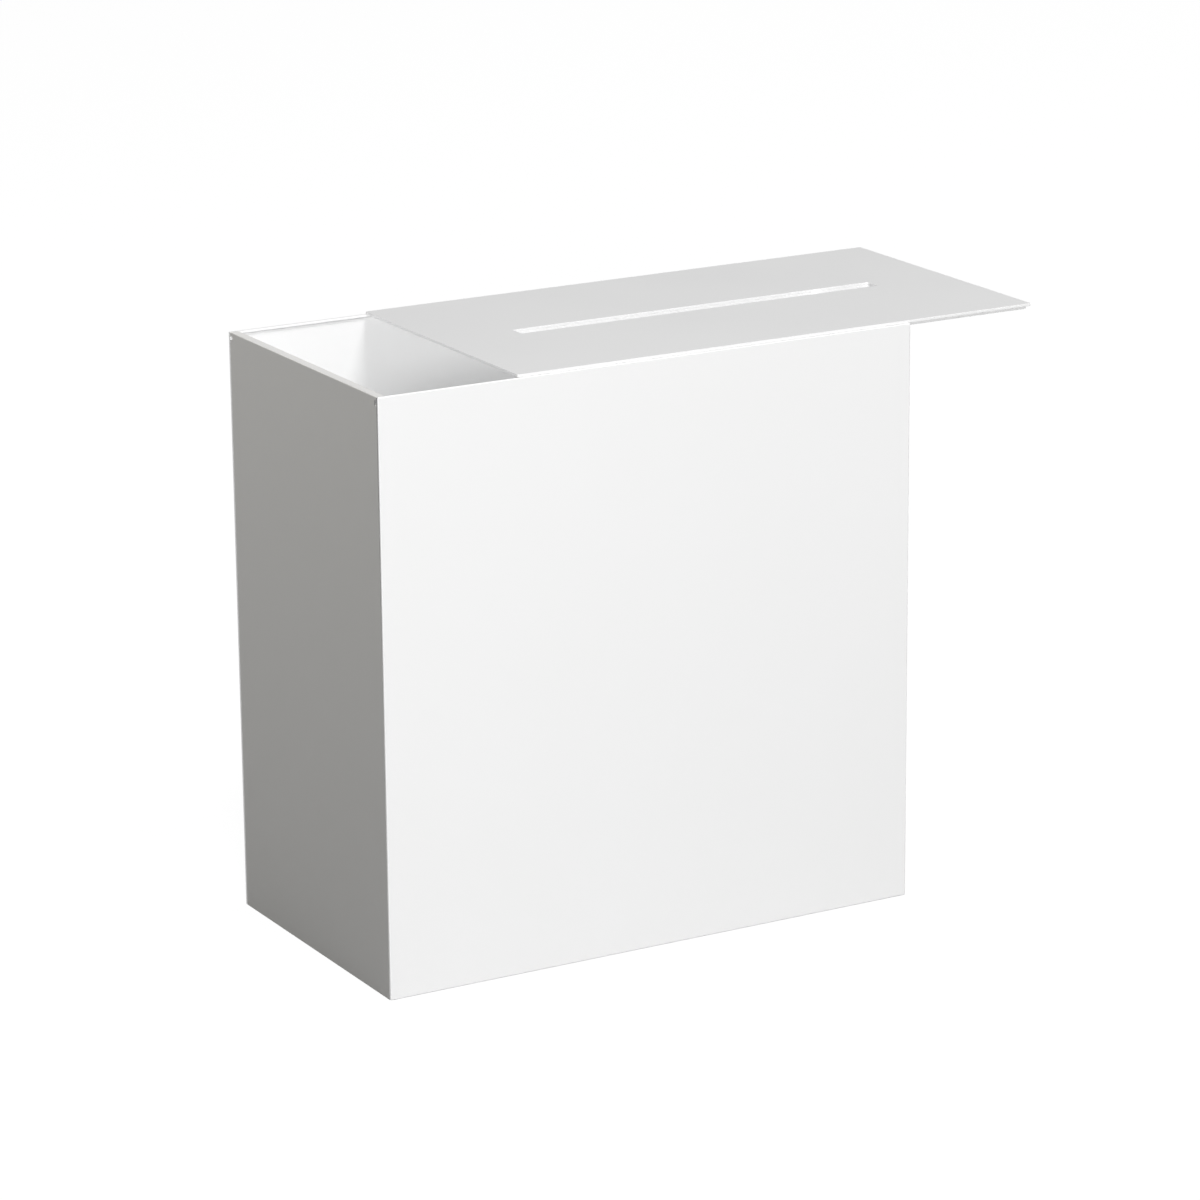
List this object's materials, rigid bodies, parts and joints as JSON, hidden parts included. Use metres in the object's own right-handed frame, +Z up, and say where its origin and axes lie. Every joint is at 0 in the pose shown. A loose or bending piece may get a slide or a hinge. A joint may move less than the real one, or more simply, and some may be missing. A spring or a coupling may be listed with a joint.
{
  "type": "ashtray bin",
  "caption": "Free-standing rectangular sheet-steel ashtray bin with a slotted sliding lid and a lift-out liner with a swinging bail handle.",
  "frame": {"origin": "centre of the body's footprint, on the face that it stands on", "axes": "+Z up, front face towards -Y, the lid slides open along +X"},
  "size_m": [0.3988, 0.175, 0.3258],
  "materials": {
    "white_powder_coat": "satin white powder coat on sheet steel",
    "galvanised_sheet": "hot-dip galvanised sheet with a fine spangle",
    "rivet_steel": "plain zinc-plated rivets",
    "stainless_wire": "drawn stainless wire, dull"
  },
  "bodies": {
    "body": {"front_panel": "white_powder_coat", "back_panel": "white_powder_coat", "left_end_panel": "white_powder_coat", "right_end_panel": "white_powder_coat", "base_panel": "white_powder_coat"},
    "lid": {"lid_plate": "white_powder_coat", "lid_locating_plate": "white_powder_coat"},
    "liner": {"liner_front_wall": "galvanised_sheet", "liner_back_wall": "galvanised_sheet", "liner_left_wall": "galvanised_sheet", "liner_right_wall": "galvanised_sheet", "liner_floor": "galvanised_sheet", "front_handle_ear": "galvanised_sheet", "back_handle_ear": "galvanised_sheet", "ear_rivets": "rivet_steel"},
    "handle": {"bail_handle": "stainless_wire"}
  },
  "joints": [
    {"name": "lid_slide", "type": "slide", "parent": "body", "child": "lid", "axis": [1, 0, 0], "range_m": [-0.08, 0.07]},
    {"name": "liner_lift", "type": "slide", "parent": "body", "child": "liner", "axis": [0, 0, 1], "range_m": [0, 0.05]},
    {"name": "handle_swing", "type": "hinge", "parent": "liner", "child": "handle", "pos_m": [0, 0, 0.2038], "axis": [0, -1, 0], "range_deg": [0, 180]}
  ]
}
